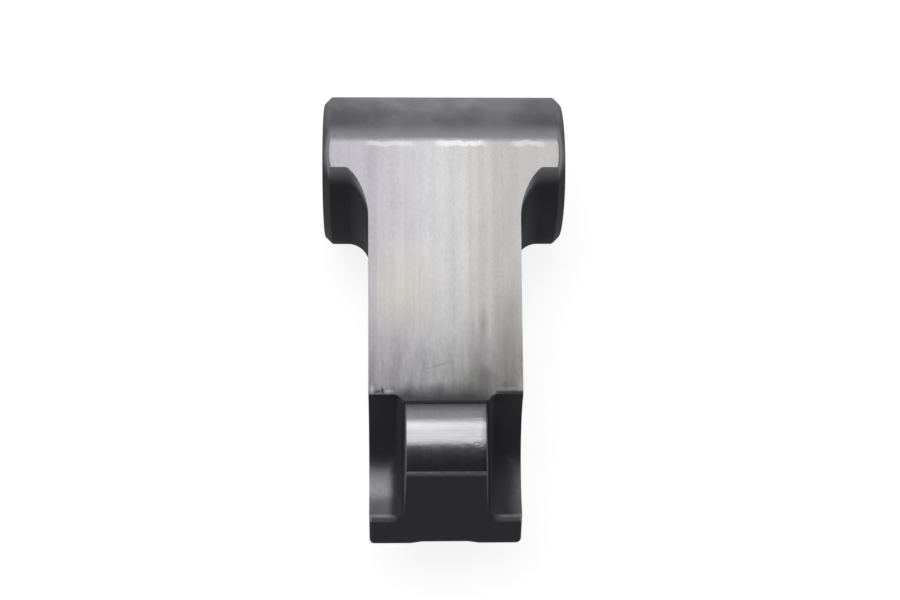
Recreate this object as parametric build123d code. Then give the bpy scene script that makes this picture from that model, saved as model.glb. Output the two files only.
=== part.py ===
from build123d import *

import os
from math import cos, radians, sin, sqrt, tan

# Rocker arm of the pad-follower kind: one forged steel arm that swings about a shaft
# through its hub, with a bronze bushing pressed into the hub.
# Frame: origin in the middle of the shaft bore, +Y along the bore, +X towards the toe,
# +Z out of the ground flat. Lengths in mm, angles in degrees.

# Hub
HUB_DIAMETER = 40.0
HUB_LENGTH = 64.0
HUB_CHAMFER = 2.0

# Shaft bushing
SHAFT_BORE = 25.0
BUSHING_WALL = 1.5
BUSHING_RECESS = 0.5  # each end of the bushing lies this far inside the hub's end
BUSHING_LEAD = 0.5  # chamfers at the bushing's ends
OIL_GROOVE_WIDTH = 4.0
OIL_GROOVE_DEPTH = 0.7
OIL_GROOVE_LAND = 9.0  # plain wall left at each end of the bushing, past the groove

# Arm
FLAT_SKIM = 0.4  # depth that grinding the flat takes off the top of the hub
ROOT_WIDTH = 40.0
SIDE_TAPER = 0.18  # each side, narrowing to the toe
ROOT_FILLET = 6.0
UNDERSIDE_TAPER = 5.0
UNDERSIDE_EDGE_RADIUS = 3.0

# Toe
TOE_LENGTH = 23.8  # crest of the cam pad to the end face
TOE_EDGE_HEIGHT = 5.7  # top of the end face above the bore's axis
TOE_DEPTH = 7.2  # height of the end face
TOE_LAND = 20.0  # length of the level land under the toe
TOE_CORNER_RADIUS = 1.2
TOE_EDGE_RADIUS = 0.8
RELIEF_WIDTH = 18.0  # shallow hollow across the middle of the end face
RELIEF_DEPTH = 0.4
RELIEF_FLANK = 3.0  # run of each sloping side of the hollow
RELIEF_BLEND = 4.0

# Cam pad: a ground arc across the web between the scoops
PAD_REACH = 77.0  # bore's axis to the crest
PAD_RADIUS = 22.0
PAD_RISE = 2.4  # crest above the flat
PAD_STEP = 0.6  # the grinding starts this far below the flat
PAD_END_ANGLE = 17.0  # from the crest to where the grinding stops
LEDGE_RUN = 0.5  # the small ledge where the grinding stops, up to the front face
LEDGE_RISE = 0.15
PAD_WIDTH = 20.8
WEB_DRAFT = 3.0
EDGE_BREAK = 0.35  # chamfer along the web's edges and round the scoops

# Side scoops
SCOOP_RADIUS = 21.6
SCOOP_LEAD = 13.3  # scoop's edge on the flat to the pad's crest
SCOOP_LAND = 6.2  # scoop's edge on the front face to the end face
SCOOP_FILLET = 2.5

# Places worked out from the sizes
hub_radius = HUB_DIAMETER / 2
bushing_radius = SHAFT_BORE / 2 + BUSHING_WALL
bushing_length = HUB_LENGTH - 2 * BUSHING_RECESS
flat_height = hub_radius - FLAT_SKIM
blank_height = flat_height + 2 * ROOT_FILLET  # the arm before its flat is ground
toe_underside = TOE_EDGE_HEIGHT - TOE_DEPTH
toe_reach = PAD_REACH + TOE_LENGTH
toe_width = ROOT_WIDTH - 2 * toe_reach * tan(radians(SIDE_TAPER))
toe_middle = toe_reach - RELIEF_DEPTH  # end face inside the relief
crest_height = flat_height + PAD_RISE
pad_center = (PAD_REACH, crest_height - PAD_RADIUS)
pad_start = PAD_REACH - sqrt(PAD_RADIUS**2 - (PAD_RADIUS - PAD_RISE - PAD_STEP) ** 2)
flat_end = pad_start - PAD_STEP  # the step down to the pad slopes at 45 degrees
scoop_start = PAD_REACH - SCOOP_LEAD
scoop_end = toe_reach - SCOOP_LAND
BEYOND = 2 * HUB_LENGTH  # reach of cutting tools past the part
NEAR = 0.01  # how close counts as touching when edges are picked


def on_pad(angle):
    """Point of the pad's arc at an angle past the crest, as (x, z)."""
    x = pad_center[0] + PAD_RADIUS * sin(radians(angle))
    z = pad_center[1] + PAD_RADIUS * cos(radians(angle))
    return x, z


pad_end = on_pad(PAD_END_ANGLE)
front_top = (pad_end[0] + LEDGE_RUN, pad_end[1] + LEDGE_RISE)
front_slope = (front_top[1] - TOE_EDGE_HEIGHT) / (toe_reach - front_top[0])


def front_height(x):
    """Height of the front face above the bore's axis, x along the arm."""
    return TOE_EDGE_HEIGHT + (toe_reach - x) * front_slope


def web_half(z):
    """Half the width of the drafted web, z above the bore's axis."""
    return PAD_WIDTH / 2 + (crest_height - z) * tan(radians(WEB_DRAFT))


def side_profile():
    """Side view of the arm and toe, with full height left above what is ground flat."""
    pad_foot = (pad_start, flat_height - PAD_STEP)
    land_start = toe_reach - TOE_LAND
    root_depth = toe_underside - land_start * tan(radians(UNDERSIDE_TAPER))
    with BuildSketch(Plane.XZ) as profile:
        with BuildLine():
            Polyline(
                pad_foot,
                (flat_end, flat_height),
                (flat_end, blank_height),
                (0, blank_height),
                (0, root_depth),
                (land_start, toe_underside),
                (toe_reach, toe_underside),
                (toe_reach, TOE_EDGE_HEIGHT),
                front_top,
                pad_end,
            )
            ThreePointArc(pad_foot, on_pad(0), pad_end)
        make_face()
    return profile.sketch


def plan_profile():
    """View of the arm from above: it narrows to the toe, whose end face is relieved."""
    relief_outer = RELIEF_WIDTH / 2
    relief_inner = relief_outer - RELIEF_FLANK
    with BuildSketch(Plane.XY) as plan:
        with BuildLine():
            half = Polyline(
                (0, 0),
                (0, ROOT_WIDTH / 2),
                (toe_reach, toe_width / 2),
                (toe_reach, relief_outer),
                (toe_middle, relief_inner),
                (toe_middle, 0),
            )
            mirror(half, about=Plane.XZ)
        make_face()
        at_corner = lambda v: v.X > toe_middle and abs(v.Y) > relief_outer + NEAR
        in_relief = lambda v: relief_inner - NEAR < abs(v.Y) < relief_outer + NEAR
        fillet(plan.vertices().filter_by(at_corner), TOE_CORNER_RADIUS)
        fillet(plan.vertices().filter_by(in_relief), RELIEF_BLEND)
    return plan.sketch


def hub():
    """Plain hub cylinder with its ends chamfered, still without its bore."""
    cylinder = Rot(X=90) * Cylinder(hub_radius, HUB_LENGTH)
    return chamfer(cylinder.edges().filter_by(GeomType.CIRCLE), HUB_CHAMFER)


def under_edge(edge):
    """True for the long lower edges; the ones round the toe are tangent and follow them."""
    lengthwise = abs((edge % 0.5).X) > 1 - NEAR
    return lengthwise and (edge @ 0.5).Z < toe_underside + NEAR


def on_hub(edge):
    """True for an edge on the hub's cylinder where the arm comes out of it."""
    points = [edge @ t for t in (0, 0.5, 1)]
    on_cylinder = all(abs(sqrt(p.X**2 + p.Z**2) - hub_radius) < NEAR for p in points)
    in_arm = all(abs(p.Y) < ROOT_WIDTH / 2 + NEAR for p in points)
    return on_cylinder and in_arm and points[1].X > NEAR


def blank():
    """Forging: the tapered arm blended into the hub, before any machining."""
    arm = extrude(side_profile(), ROOT_WIDTH, both=True)
    arm &= extrude(plan_profile(), BEYOND, both=True)
    arm = fillet(arm.edges().filter_by(under_edge), UNDERSIDE_EDGE_RADIUS)
    forging = hub() + arm
    return fillet(forging.edges().filter_by(on_hub), ROOT_FILLET)


def above_flat():
    """What grinding the flat takes away, over the hub and along the arm to the pad."""
    tool = Box(BEYOND, BEYOND, BEYOND, align=(Align.MAX, Align.CENTER, Align.MIN))
    return Pos(flat_end, 0, flat_height) * tool


def web():
    """Drafted rib that the scoops leave standing, much taller than the part."""
    top = crest_height + 2 * SCOOP_RADIUS
    bottom = crest_height - 2 * SCOOP_RADIUS
    with BuildSketch(Plane.YZ) as section:
        with BuildLine():
            Polyline(
                (web_half(top), top),
                (web_half(bottom), bottom),
                (-web_half(bottom), bottom),
                (-web_half(top), top),
                close=True,
            )
        make_face()
    return extrude(section.sketch, BEYOND)


def scoops():
    """Clearance cuts beside the web, round about an axis that is level with the bore."""
    run = scoop_end - scoop_start
    fall = flat_height - front_height(scoop_end)
    chord = sqrt(run**2 + fall**2)
    offset = sqrt(SCOOP_RADIUS**2 - (chord / 2) ** 2)
    center_x = (scoop_start + scoop_end) / 2 + offset * fall / chord
    center_z = flat_height - fall / 2 + offset * run / chord
    cutter = Pos(center_x, 0, center_z) * Rot(X=90) * Cylinder(SCOOP_RADIUS, BEYOND)
    tools = cutter - web()
    rims = tools.edges().filter_by(lambda edge: abs((edge @ 0.5).Y) < toe_width / 2)
    return fillet(rims, SCOOP_FILLET)


def on_web_outline(edge):
    """True for the web's upper edges; the ones round the scoops are tangent and follow."""
    middle = edge @ 0.5
    beside_web = abs(abs(middle.Y) - web_half(middle.Z)) < NEAR
    straight_or_arc = edge.geom_type != GeomType.BSPLINE
    return beside_web and straight_or_arc and pad_start < middle.X < scoop_end


def on_toe_rim(edge):
    """True for the front face's edges below the scoops: its sides and the end face's top."""
    points = [edge @ t for t in (0, 0.5, 1)]
    on_front = all(abs(p.Z - front_height(p.X)) < NEAR for p in points)
    return on_front and points[1].X > scoop_end + EDGE_BREAK


def arm_body():
    """The finished arm: ground flat and pad, scoops, broken toe edges and hub bore."""
    body = blank() - above_flat() - scoops()
    body = chamfer(body.edges().filter_by(on_web_outline), EDGE_BREAK)
    body = fillet(body.edges().filter_by(on_toe_rim), TOE_EDGE_RADIUS)
    bore = Rot(X=90) * Cylinder(bushing_radius, BEYOND)
    body -= bore
    mouths = body.edges().filter_by(GeomType.CIRCLE).filter_by(
        lambda edge: abs(edge.radius - bushing_radius) < NEAR
    )
    return chamfer(mouths, BUSHING_LEAD)


def shaft_bushing():
    """Pressed-in bronze bushing with a shallow oil groove along the side off the arm."""
    sleeve = Rot(X=90) * Cylinder(bushing_radius, bushing_length)
    sleeve -= Rot(X=90) * Cylinder(SHAFT_BORE / 2, BEYOND)
    sleeve = chamfer(sleeve.edges().filter_by(GeomType.CIRCLE), BUSHING_LEAD)
    half_width = OIL_GROOVE_WIDTH / 2
    groove_radius = (half_width**2 + OIL_GROOVE_DEPTH**2) / (2 * OIL_GROOVE_DEPTH)
    center = SHAFT_BORE / 2 + OIL_GROOVE_DEPTH - groove_radius
    groove_length = bushing_length - 2 * OIL_GROOVE_LAND
    groove = Pos(-center, 0, 0) * Rot(X=90) * Cylinder(groove_radius, groove_length)
    return sleeve - groove


os.makedirs("parts", exist_ok=True)
export_step(arm_body(), "parts/arm_body.step")
export_step(shaft_bushing(), "parts/shaft_bushing.step")
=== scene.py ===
from math import atan2, cos, hypot, inf, pi, radians, sin, sqrt

import bmesh
import bpy
from mathutils import Matrix, Quaternion, Vector


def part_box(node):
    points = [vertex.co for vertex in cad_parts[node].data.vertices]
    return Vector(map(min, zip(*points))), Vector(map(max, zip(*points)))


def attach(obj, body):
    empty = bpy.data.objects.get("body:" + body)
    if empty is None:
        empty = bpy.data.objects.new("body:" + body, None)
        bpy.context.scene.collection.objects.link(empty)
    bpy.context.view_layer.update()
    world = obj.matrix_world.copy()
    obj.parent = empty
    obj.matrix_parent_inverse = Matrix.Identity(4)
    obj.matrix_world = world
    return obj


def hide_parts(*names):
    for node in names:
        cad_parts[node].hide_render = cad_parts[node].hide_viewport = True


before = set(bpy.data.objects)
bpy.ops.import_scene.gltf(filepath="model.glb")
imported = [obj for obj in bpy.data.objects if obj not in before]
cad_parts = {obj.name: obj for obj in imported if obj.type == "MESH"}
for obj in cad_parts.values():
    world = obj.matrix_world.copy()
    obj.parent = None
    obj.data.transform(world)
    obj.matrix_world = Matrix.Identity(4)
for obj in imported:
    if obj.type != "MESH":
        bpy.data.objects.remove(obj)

bl_info = {
    "name": "Rocker Arm Finish",
    "version": (1, 0, 0),
    "blender": (4, 5, 0),
    "location": "3D View > Sidebar > Rocker Arm",
    "description": "Dresses a forged rocker arm with its ground, forged and bored finishes",
    "category": "Object",
}

MM = 0.001
ARM = "arm_body"
BUSHING = "shaft_bushing"
UV_ACROSS = "across"

# Places and sizes are in millimetres: x along the arm from the shaft's axis, y along the shaft
# and z out of the ground flat. The arm's box, and what follows from it:
arm_low, arm_high = (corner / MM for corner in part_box(ARM))
hub_radius = -arm_low.z
hub_half = arm_high.y
toe_reach = arm_high.x
crest_height = arm_high.z

# Sizes that the box doesn't give, the same as in the solid
PAD_REACH = 77.0
PAD_RADIUS = 22.0
PAD_RISE = 2.4
PAD_STEP = 0.6
PAD_HALF_WIDTH = 10.4
SCOOP_RADIUS = 21.6
SCOOP_LEAD = 13.3
SCOOP_LAND = 6.2
PAD_END = (83.43, 21.04)
FRONT_TOP = (83.93, 21.19)
TOE_EDGE_HEIGHT = 5.7
HUB_CHAMFER = 2.0
EDGE_BREAK = 0.35
MOUTH = 1.0  # from the hub's ends, past the chamfers of its bore

# Wear that rounds the solid's edges
LIP_RADIUS = 2.0  # where the scoops run out on the front face
LIP_FADE = (12.6, 14.4)  # from nothing at the first y to full at the second
LIP_CUTS, FADE_CUTS = 13, 6  # cuts across the lip and across its fade
EDGE_WEAR = 0.22  # width of the worn bevel along the flat's sides
HUB_WEAR = 0.35  # and along the hub's chamfers

# Painted highlights on the flat's edge at the hub, where it rolls over towards the softbox: bright
# strips from one y to another
HIGHLIGHT_STRIPS = ((-21.0, -7.6, "#B0B0B0"), (-2.4, 10.8, "#FFFFFF"), (17.4, 26.6, "#C8C8C8"))
STRIPS_REACH = 28.0  # no strip comes this far to either side
STRIP_FADE = 0.6  # past its ends, where a strip is gone
STRIP_TAPER = 1.6  # inside its ends, where it is full
STRIP_X = -2.35  # its mean place
STRIP_WANDER = 1.9  # how far it wavers

# Painted light and shade across the flat, from left to right: brightest in the middle, darker to
# the sides, with a cool tint of lamp light on the left and a warm one on the right
CROSS_SHADING = (
    (0.0, "#DEDCE2"),
    (0.3, "#F4F3F5"),
    (0.5, "#FFFFFF"),
    (0.64, "#FFFFFD"),
    (0.66, "#F6F5F3"),
    (0.8, "#F4F2F0"),
    (0.88, "#E8E5E2"),
    (0.93, "#EAE7E4"),
    (1.0, "#F4F2EF"),
)

# Marks on the flat: middle, half lengths along x and y, turn in degrees, colour and strength
FLAT_MARKS = (
    # a nick by the left scoop, with its burrs, which are painted as highlights
    ((63.0, -17.6), (0.5, 2.0), 3, "#565356", 1.0),
    ((62.7, -16.2), (1.2, 0.45), 8, "#4A484A", 1.2),
    ((62.9, -14.6), (0.6, 1.6), 0, "#F4F2F2", 0.8),
    ((62.4, -18.9), (1.6, 1.0), 0, "#F4F2F2", 0.8),
    # burrs by the right scoop, painted as highlights
    ((61.7, 19.3), (3.0, 0.9), 0, "#F4F2F2", 0.9),
    ((62.3, 16.4), (0.6, 4.2), 0, "#F4F2F2", 0.5),
    # a scratch in the middle
    ((56.2, -1.8), (0.32, 4.2), 16, "#A4A2A2", 0.6),
    # a warm stain on the left
    ((36.0, -12.0), (15.0, 12.0), 0, "#EAE2D2", 0.5),
    # painted shade on the right and before the pad
    ((45.2, 9.7), (5.5, 1.7), 0, "#929292", 0.45),
    ((55.5, 7.6), (14.0, 4.6), 3, "#7C7B7A", 0.3),
    ((50.0, 16.0), (20.0, 5.0), 0, "#7C7B7A", 0.28),
    ((59.3, 10.4), (4.6, 2.6), 10, "#7C7B7A", 0.45),
    ((61.2, 6.6), (5.5, 9.0), 0, "#72716F", 0.5),
    ((62.4, -2.0), (2.0, 10.0), 4, "#7E7D7D", 0.4),
    ((61.5, 15.2), (1.6, 1.2), 0, "#6E6D6C", 0.5),
)
MARK_DEPTH = 5.0  # far more than the flat's own relief
SHADE_WANDER = 8.0  # how ragged the painted shade beside the pad's step is
TOOL_FEED = 0.25  # between the rings that the lathe and the boring bar leave

# How near a facet is to the surface that it stands for
NEAR = 0.06  # its middle to a round surface
NEAR_LEVEL = 0.05  # and to a flat one
ALIGNED = 0.99  # its normal to the surface's, as a cosine
LEVEL = 0.99999  # its normal to straight up
SLACK = 0.1  # past a chamfer's edge
END_SLACK = 0.001  # past the lip's last cut, which is lowered too
TOP_DEPTH = 3.0  # the upper faces lie within this of the arm's highest line

# Angles between faces
SHARP = radians(30)  # from here on an edge wears
CREASE = radians(25)  # up to here faces share a smooth normal
RUN_IN = radians(14)  # up to here a fillet takes the normal of the surface it runs into

UPRIGHT = 0.01  # share of the height in V, so that upright faces have some area there too

# Kinds of face before its surface is known
UNKNOWN = 0
ONE_FLAT = -1

flat_height = crest_height - PAD_RISE
pad_z = crest_height - PAD_RADIUS
pad_start = PAD_REACH - sqrt(PAD_RADIUS**2 - (PAD_RADIUS - PAD_RISE - PAD_STEP) ** 2)
flat_end = pad_start - PAD_STEP
scoop_start = PAD_REACH - SCOOP_LEAD
scoop_end = toe_reach - SCOOP_LAND


def linear(hex_colour):
    """Linear RGBA of an sRGB colour such as "#C8C8C8"."""
    values = [int(hex_colour[i : i + 2], 16) / 255 for i in (1, 3, 5)]
    flat = [v / 12.92 if v <= 0.04045 else ((v + 0.055) / 1.055) ** 2.4 for v in values]
    return (*flat, 1.0)


def add(tree, kind, inputs=None, **settings):
    """Adds a node. Inputs are values, or (node, output name) pairs to link from."""
    node = tree.nodes.new(kind)
    for name, value in settings.items():
        setattr(node, name, value)
    for name, value in (inputs or {}).items():
        if isinstance(value, tuple) and isinstance(value[0], bpy.types.Node):
            tree.links.new(value[0].outputs[value[1]], node.inputs[name])
        else:
            node.inputs[name].default_value = value
    return node


# --- Finishes ---------------------------------------------------------------------------------


def new_material(name):
    """Empty node material and its tree."""
    material = bpy.data.materials.new(name)
    material.use_nodes = True
    material.node_tree.nodes.clear()
    return material, material.node_tree


def grain(tree, size, detail=3.0, roughness=0.5):
    """Noise node whose blotches have the given size along x, y and z, in millimetres."""
    where = add(tree, "ShaderNodeTexCoord")
    scale = [1 / (MM * length) for length in size]
    place = add(tree, "ShaderNodeMapping", {"Vector": (where, "Object"), "Scale": scale})
    settings = {"Vector": (place, "Vector"), "Scale": 1.0, "Detail": detail, "Roughness": roughness}
    return add(tree, "ShaderNodeTexNoise", settings)


def spot(tree, place, size, turn=0.0):
    """Soft oval mask on the flat: 1 at its middle, 0 outside. Millimetres, and degrees about z."""
    where = add(tree, "ShaderNodeTexCoord")
    oval = add(
        tree,
        "ShaderNodeMapping",
        {
            "Vector": (where, "Object"),
            "Location": (place[0] * MM, place[1] * MM, flat_height * MM),
            "Rotation": (0.0, 0.0, radians(turn)),
            "Scale": (size[0] * MM, size[1] * MM, MARK_DEPTH * MM),
        },
        vector_type="TEXTURE",
    )
    settings = {"Vector": (oval, "Vector")}
    return add(tree, "ShaderNodeTexGradient", settings, gradient_type="SPHERICAL")


def blend(tree, parts, middle=0.5):
    """Sum of the parts about a middle. Each part is (node, output, weight), swinging about 0.5."""
    total = middle - sum(weight for _, _, weight in parts) / 2
    for node, output, weight in parts:
        settings = {0: (node, output), 1: weight, 2: total}
        sum_node = add(tree, "ShaderNodeMath", settings, operation="MULTIPLY_ADD")
        total = (sum_node, "Value")
    return sum_node


def set_stops(ramp, stops):
    """Puts (place, hex colour) stops on a colour ramp."""
    while len(ramp.elements) > 1:
        ramp.elements.remove(ramp.elements[-1])
    for number, (place, colour) in enumerate(stops):
        stop = ramp.elements[0] if number == 0 else ramp.elements.new(1.0)
        stop.position, stop.color = place, linear(colour)


def strip_stops():
    """Stops that show the strips' brightness along them, from STRIPS_REACH on the left."""
    stops = [(0.0, "#000000")]
    for start, end, level in HIGHLIGHT_STRIPS:
        for y, colour in (
            (start - STRIP_FADE, "#000000"),
            (start + STRIP_TAPER, level),
            (end - STRIP_TAPER, level),
            (end + STRIP_FADE, "#000000"),
        ):
            stops.append(((y + STRIPS_REACH) / (2 * STRIPS_REACH), colour))
    return stops


def ground_steel(finish):
    """Steel ground lengthwise with a coarse belt.

    To the eye: bright pale grey, with long streaks that smear a reflection across the arm and
    keep it sharp along it. Painted shade darkens it towards the sides, in blotches towards the
    pad and beside the pad's step, and a painted tint of the lamps lies across it. It is stained,
    darker near the hub's edge and carries painted highlights in strips there.
    """
    material, tree = new_material("ground_steel")
    # The grit's own lines are too fine to show, so the streaks are drawn as coarse as this
    streak, deep = 600.0, 10.0  # a streak runs on past both ends, and a flat has no depth
    fine = grain(tree, (streak, finish.streak_spacing, deep), 4.0, 0.6)
    broad = grain(tree, (streak, 5 * finish.streak_spacing, deep), 2.0)
    stain = grain(tree, (15.0, 7.0, deep), 3.0)
    pits = grain(tree, (0.9, 0.5, 1.0), 2.0)
    blotches = grain(tree, (16.0, 4.5, deep), 4.0, 0.6)
    waver = grain(tree, (6.0, 3.0, deep), 3.0)

    where = add(tree, "ShaderNodeTexCoord")
    axes = add(tree, "ShaderNodeSeparateXYZ", {"Vector": (where, "Object")})
    x, y = (axes, "X"), (axes, "Y")
    ragged = add(
        tree,
        "ShaderNodeMath",
        {0: (stain, "Fac"), 1: SHADE_WANDER * MM, 2: x},
        operation="MULTIPLY_ADD",
    )
    offset = add(
        tree,
        "ShaderNodeMath",
        {0: (waver, "Fac"), 1: STRIP_WANDER * MM, 2: -(STRIP_X + STRIP_WANDER / 2) * MM},
        operation="MULTIPLY_ADD",
    )
    middle = add(tree, "ShaderNodeMath", {0: x, 1: (offset, "Value")}, operation="ADD")
    off_strip = add(tree, "ShaderNodeMath", {0: (middle, "Value")}, operation="ABSOLUTE")

    # Shares that grow as a value goes from one place to another: across the arm and the highlight
    # strips, the blotches of painted shade towards the pad, the hub's edge, where it is darker, the
    # painted shade beside the pad's step, and a darker strip by the right scoop
    shares = {}
    for name, value, none, full, most, curve in (
        ("across arm", y, -20.0 * MM, 20.0 * MM, 1.0, "LINEAR"),
        ("across strips", y, -STRIPS_REACH * MM, STRIPS_REACH * MM, 1.0, "LINEAR"),
        ("blotch", (blotches, "Fac"), 0.42, 0.8, 1.0, "LINEAR"),
        ("towards pad", x, 36.0 * MM, 62.0 * MM, 0.6, "LINEAR"),
        ("hub edge", x, -2.6 * MM, -4.6 * MM, 1.0, "LINEAR"),
        ("grime", (ragged, "Value"), 64.0 * MM, 69.6 * MM, 1.0, "SMOOTHSTEP"),
        ("on strip", (off_strip, "Value"), 0.95 * MM, 0.35 * MM, 1.0, "SMOOTHSTEP"),
        ("near scoop start", x, 62.7 * MM, 63.1 * MM, 1.0, "LINEAR"),
        ("right scoop", y, 12.4 * MM, 13.4 * MM, 0.9, "LINEAR"),
    ):
        settings = {"Value": value, "From Min": none, "From Max": full, "To Max": most}
        node = add(tree, "ShaderNodeMapRange", settings, interpolation_type=curve)
        shares[name] = (node, "Result")
    strips = add(tree, "ShaderNodeValToRGB", {"Fac": shares["across strips"]})
    set_stops(strips.color_ramp, strip_stops())
    shares["strips"] = (strips, "Color")
    for name, first, second, operation in (
        ("painted_shading", "blotch", "towards pad", "MULTIPLY"),
        ("darkened", "hub edge", "grime", "MAXIMUM"),
        ("painted_highlight", "strips", "on strip", "MULTIPLY"),
        ("darker_strip", "near scoop start", "right scoop", "MULTIPLY"),
    ):
        settings = {0: shares[first], 1: shares[second]}
        shares[name] = (add(tree, "ShaderNodeMath", settings, operation=operation), "Value")

    tone = blend(
        tree, [(fine, "Fac", 0.8), (broad, "Fac", 0.9), (stain, "Fac", 0.7), (pits, "Fac", 0.6)]
    )
    dark, light = linear(finish.ground_dark), linear(finish.ground_light)
    streaks = add(
        tree,
        "ShaderNodeMix",
        {"Factor": (tone, "Value"), "A": dark, "B": light},
        data_type="RGBA",
    )
    # Painted light and shade across the flat, with the lamps' tint
    shade_and_waves = add(tree, "ShaderNodeValToRGB", {"Fac": shares["across arm"]})
    set_stops(shade_and_waves.color_ramp, CROSS_SHADING)
    steel = add(
        tree,
        "ShaderNodeMix",
        {"Factor": 1.0, "A": (streaks, "Result"), "B": (shade_and_waves, "Color")},
        data_type="RGBA",
        blend_type="MULTIPLY",
    )
    # Painted shade towards the pad and beside its step, darker near the hub's edge, and painted
    # highlights in strips
    layers = [
        (shares["painted_shading"], finish.grime),
        (shares["darkened"], finish.grime),
        (shares["painted_highlight"], finish.painted_highlight),
    ]
    for place, size, turn, colour, strength in FLAT_MARKS:
        mask = add(
            tree,
            "ShaderNodeMath",
            {0: (spot(tree, place, size, turn), "Fac"), 1: strength},
            operation="MULTIPLY",
            use_clamp=True,
        )
        layers.append(((mask, "Value"), colour))
    # A darker strip at the flat's end beside the right scoop
    layers.append((shares["darker_strip"], finish.scale_and_shade))
    for mask, colour in layers:
        steel = add(
            tree,
            "ShaderNodeMix",
            {"Factor": mask, "A": (steel, "Result"), "B": linear(colour)},
            data_type="RGBA",
        )

    settings = {"From Min": 0.3, "From Max": 0.7, "To Min": 0.2, "To Max": 0.27}
    rough = add(tree, "ShaderNodeMapRange", {"Value": (fine, "Fac"), **settings})
    relief = blend(tree, [(fine, "Fac", 0.7), (pits, "Fac", 0.3)])
    grooves = add(
        tree,
        "ShaderNodeBump",
        {"Height": (relief, "Value"), "Strength": 0.25, "Distance": 0.02 * MM},
    )
    across = add(tree, "ShaderNodeTangent", direction_type="UV_MAP", uv_map=UV_ACROSS)
    shader = add(
        tree,
        "ShaderNodeBsdfPrincipled",
        {
            "Base Color": (steel, "Result"),
            "Metallic": 1.0,
            "Roughness": (rough, "Result"),
            "Anisotropic": 0.9,
            "Normal": (grooves, "Normal"),
            "Tangent": (across, "Tangent"),
        },
    )
    add(tree, "ShaderNodeOutputMaterial", {"Surface": (shader, "BSDF")})
    return material


def polished_pad(finish):
    """Steel ground and polished to the cam's arc.

    To the eye: near a mirror along the arc, with faint lines along it and fine rubs across, and
    shallow waves that grow to its right end, where it bears less; it is darker there. Painted
    shade lies against the step at its start, and a painted highlight along the band where it
    mirrors the softbox.
    """
    material, tree = new_material("polished_steel")
    lines = grain(tree, (14.0, 0.5, 14.0), 3.0)
    rubs = grain(tree, (0.5, 9.0, 0.5), 3.0)
    waves = grain(tree, (1.3, 2.6, 4.0), 3.0)
    where = add(tree, "ShaderNodeTexCoord")
    axes = add(tree, "ShaderNodeSeparateXYZ", {"Vector": (where, "Object")})
    x, y = (axes, "X"), (axes, "Y")
    shade_end = pad_start + 2.6  # the painted shade by the step is gone here
    shares = {}
    for name, value, start, end, least, most, curve in (
        ("rough", (lines, "Fac"), 0.3, 0.7, 0.18, 0.24, "LINEAR"),
        ("by_step", x, shade_end * MM, pad_start * MM, 0.0, 0.85, "LINEAR"),
        ("dull", y, 8.6 * MM, 10.4 * MM, 0.0, 0.6, "LINEAR"),
        ("before", x, 70.6 * MM, 71.5 * MM, 0.0, 0.32, "SMOOTHSTEP"),
        ("after", x, 73.2 * MM, 71.7 * MM, 0.0, 1.0, "SMOOTHSTEP"),
        ("wavy", y, 3.0 * MM, 9.0 * MM, 0.16, 0.6, "LINEAR"),
    ):
        node = add(
            tree,
            "ShaderNodeMapRange",
            {"Value": value, "From Min": start, "From Max": end, "To Min": least, "To Max": most},
            interpolation_type=curve,
        )
        shares[name] = (node, "Result")

    tone = blend(tree, [(lines, "Fac", 0.8), (rubs, "Fac", 0.9)])
    dark, light = linear(finish.pad_dark), linear(finish.pad_light)
    steel = add(
        tree,
        "ShaderNodeMix",
        {"Factor": (tone, "Value"), "A": dark, "B": light},
        data_type="RGBA",
    )
    # Painted shade by the step and a darker right end; a painted highlight on the band where the
    # pad mirrors the softbox
    for first, second, operation, colour in (
        ("by_step", "dull", "MAXIMUM", finish.grime),
        ("before", "after", "MULTIPLY", finish.painted_highlight),
    ):
        settings = {0: shares[first], 1: shares[second]}
        mask = add(tree, "ShaderNodeMath", settings, operation=operation)
        steel = add(
            tree,
            "ShaderNodeMix",
            {"Factor": (mask, "Value"), "A": (steel, "Result"), "B": linear(colour)},
            data_type="RGBA",
        )
    shade_and_waves = add(
        tree,
        "ShaderNodeBump",
        {"Height": (waves, "Fac"), "Strength": shares["wavy"], "Distance": 0.1 * MM},
    )
    across = add(tree, "ShaderNodeTangent", direction_type="UV_MAP", uv_map=UV_ACROSS)
    shader = add(
        tree,
        "ShaderNodeBsdfPrincipled",
        {
            "Base Color": (steel, "Result"),
            "Metallic": 1.0,
            "Roughness": shares["rough"],
            "Anisotropic": 0.5,
            "Normal": (shade_and_waves, "Normal"),
            "Tangent": (across, "Tangent"),
        },
    )
    add(tree, "ShaderNodeOutputMaterial", {"Surface": (shader, "BSDF")})
    return material


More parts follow.
